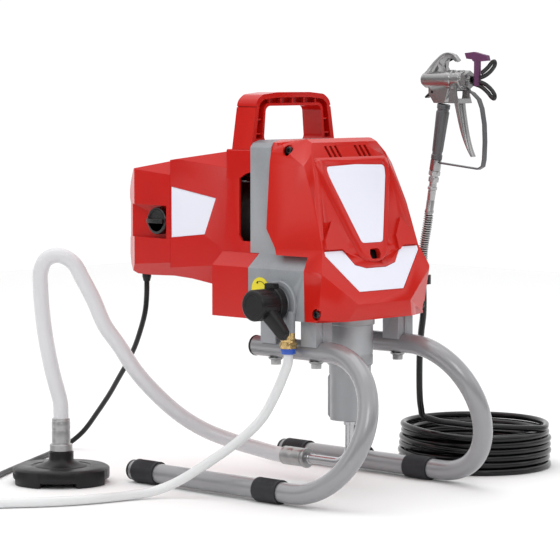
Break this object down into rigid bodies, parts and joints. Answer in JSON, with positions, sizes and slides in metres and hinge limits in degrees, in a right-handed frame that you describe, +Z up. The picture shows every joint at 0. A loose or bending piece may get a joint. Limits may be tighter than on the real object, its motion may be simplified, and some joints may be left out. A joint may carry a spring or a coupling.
{
  "type": "airless paint sprayer",
  "caption": "Portable airless paint sprayer on a bent-tube stand, with piston pump, suction hose and strainer, return tube, paint hose and a trigger spray gun.",
  "frame": {"origin": "middle of the machine's footprint on the floor, under the body between the four foot bands", "axes": "+Z up, -Y towards the nose and the gun's spray, +Y towards the tail, +X towards the gun side, -X towards the priming valve"},
  "size_m": [0.8114, 0.6741, 0.5525],
  "materials": {
    "stand_tube": "silver powder coat, satin",
    "foot_rubber": "dark grey moulded rubber",
    "black_plastic": "black moulded plastic",
    "plated_steel": "zinc plated, slightly dull",
    "casting": "grey painted aluminium casting, fine texture",
    "red_cover": "deep red moulded plastic, semi gloss",
    "white_panel": "white printed label film, plain",
    "bare_aluminium": "machined and blasted",
    "polished_steel": "polished",
    "winding": "copper windings and dark laminations",
    "white_nylon": "natural nylon",
    "brass_part": "turned",
    "yellow_label": "plain yellow label",
    "blue_plastic": "blue collet",
    "board_green": "circuit board",
    "black_rubber": "black flexible jacket",
    "suction_hose": "translucent white flexible hose",
    "clear_tube": "milky translucent tube",
    "gun_metal": "cast aluminium, satin",
    "purple_plastic": "purple moulded plastic"
  },
  "bodies": {
    "machine": {"left_runner": "stand_tube", "right_runner": "stand_tube", "foot_pads": "foot_rubber", "tube_caps": "black_plastic", "stand_fasteners": "plated_steel", "gearbox_frame": "casting", "front_cover": "red_cover", "window_panel": "white_panel", "vee_panel": "white_panel", "rear_housing": "red_cover", "carry_handle": "red_cover", "tail_cap": "red_cover", "side_panels": "white_panel", "cover_screws": "black_plastic", "motor_can": "plated_steel", "ball_bearings": "polished_steel", "pump_cylinder": "bare_aluminium", "pump_body": "bare_aluminium", "packing_nut": "brass_part", "intake_seat": "plated_steel", "inlet_pipe": "plated_steel", "outlet_fitting": "plated_steel", "valve_stem": "plated_steel", "flow_decal": "yellow_label", "drain_fitting": "brass_part", "drain_collet": "blue_plastic", "control_board": "board_green", "cord_gland": "black_rubber", "power_cord": "black_rubber", "cord_coil": "black_rubber", "mains_plug": "black_rubber", "suction_hose": "suction_hose", "crimp_sleeves": "plated_steel", "strainer": "black_plastic", "return_tube": "clear_tube", "hose_nut": "plated_steel", "hose_lead": "black_rubber", "hose_coil": "black_rubber", "hose_riser": "black_rubber", "spring_guard": "plated_steel", "hose_ferrule": "plated_steel", "hose_clip": "black_plastic", "gun_swivel": "plated_steel"},
    "rotor": {"armature": "winding", "motor_fan": "white_nylon"},
    "crank": {"drive_gear": "polished_steel"},
    "piston": {"piston_yoke": "polished_steel"},
    "inlet_ball": {"intake_ball": "polished_steel"},
    "prime_lever": {"prime_knob": "black_plastic"},
    "pressure_dial": {"pressure_knob": "black_plastic"},
    "rocker": {"power_switch": "black_plastic"},
    "gun": {"gun_body": "gun_metal", "gun_handle": "gun_metal", "gun_needle": "polished_steel", "trigger_pin": "plated_steel", "trigger_guard": "gun_metal"},
    "gun_trigger": {"trigger": "gun_metal"},
    "gun_lock": {"trigger_lock": "black_plastic"},
    "tip_housing": {"tip_guard": "black_plastic"},
    "tip_key": {"spray_tip": "purple_plastic"}
  },
  "joints": [
    {"name": "prime_valve", "type": "hinge", "parent": "machine", "child": "prime_lever", "pos_m": [-0.12, -0.086, 0.24203], "axis": [1, 0, 0], "range_deg": [-45, 45]},
    {"name": "pressure_control", "type": "hinge", "parent": "machine", "child": "pressure_dial", "pos_m": [-0.066, 0.171, 0.33253], "axis": [-1, 0, 0], "range_deg": [0, 270]},
    {"name": "switch_rock", "type": "hinge", "parent": "machine", "child": "rocker", "pos_m": [0.059, 0.171, 0.33253], "axis": [0, 1, 0], "range_deg": [0, 16]},
    {"name": "gear_spin", "type": "hinge", "parent": "machine", "child": "crank", "pos_m": [0, -0.09, 0.28803], "axis": [0, 1, 0], "continuous": true},
    {"name": "rotor_spin", "type": "hinge", "parent": "machine", "child": "rotor", "pos_m": [0, 0.05, 0.34003], "axis": [0, 1, 0], "continuous": true},
    {"name": "piston_stroke", "type": "slide", "parent": "machine", "child": "piston", "axis": [0, 0, 1], "range_m": [-0.008, 0.008]},
    {"name": "inlet_check", "type": "slide", "parent": "machine", "child": "inlet_ball", "axis": [0, 0, 1], "range_m": [0, 0.003]},
    {"name": "gun_turn", "type": "hinge", "parent": "machine", "child": "gun", "pos_m": [0.118, -0.164, 0.488], "axis": [0, -0.1736, 0.9848], "range_deg": [-60, 60]},
    {"name": "trigger_pull", "type": "hinge", "parent": "gun", "child": "gun_trigger", "pos_m": [0.118, -0.19, 0.508], "axis": [1, 0, 0], "range_deg": [0, 20], "stiffness_Nm_per_rad": 0.3, "springref_deg": -17.19},
    {"name": "lock_turn", "type": "hinge", "parent": "gun", "child": "gun_lock", "pos_m": [0.118, -0.15, 0.502], "axis": [-1, 0, 0], "range_deg": [0, 40]},
    {"name": "fan_direction", "type": "hinge", "parent": "gun", "child": "tip_housing", "pos_m": [0.118, -0.212, 0.5175], "axis": [0, -1, 0], "range_deg": [0, 90]},
    {"name": "tip_reverse", "type": "hinge", "parent": "tip_housing", "child": "tip_key", "pos_m": [0.118, -0.219, 0.53], "axis": [0, 0, 1], "range_deg": [0, 180]}
  ],
  "couplings": [
    {"joint": "rotor_spin", "follows": "gear_spin", "ratio": -3}
  ]
}
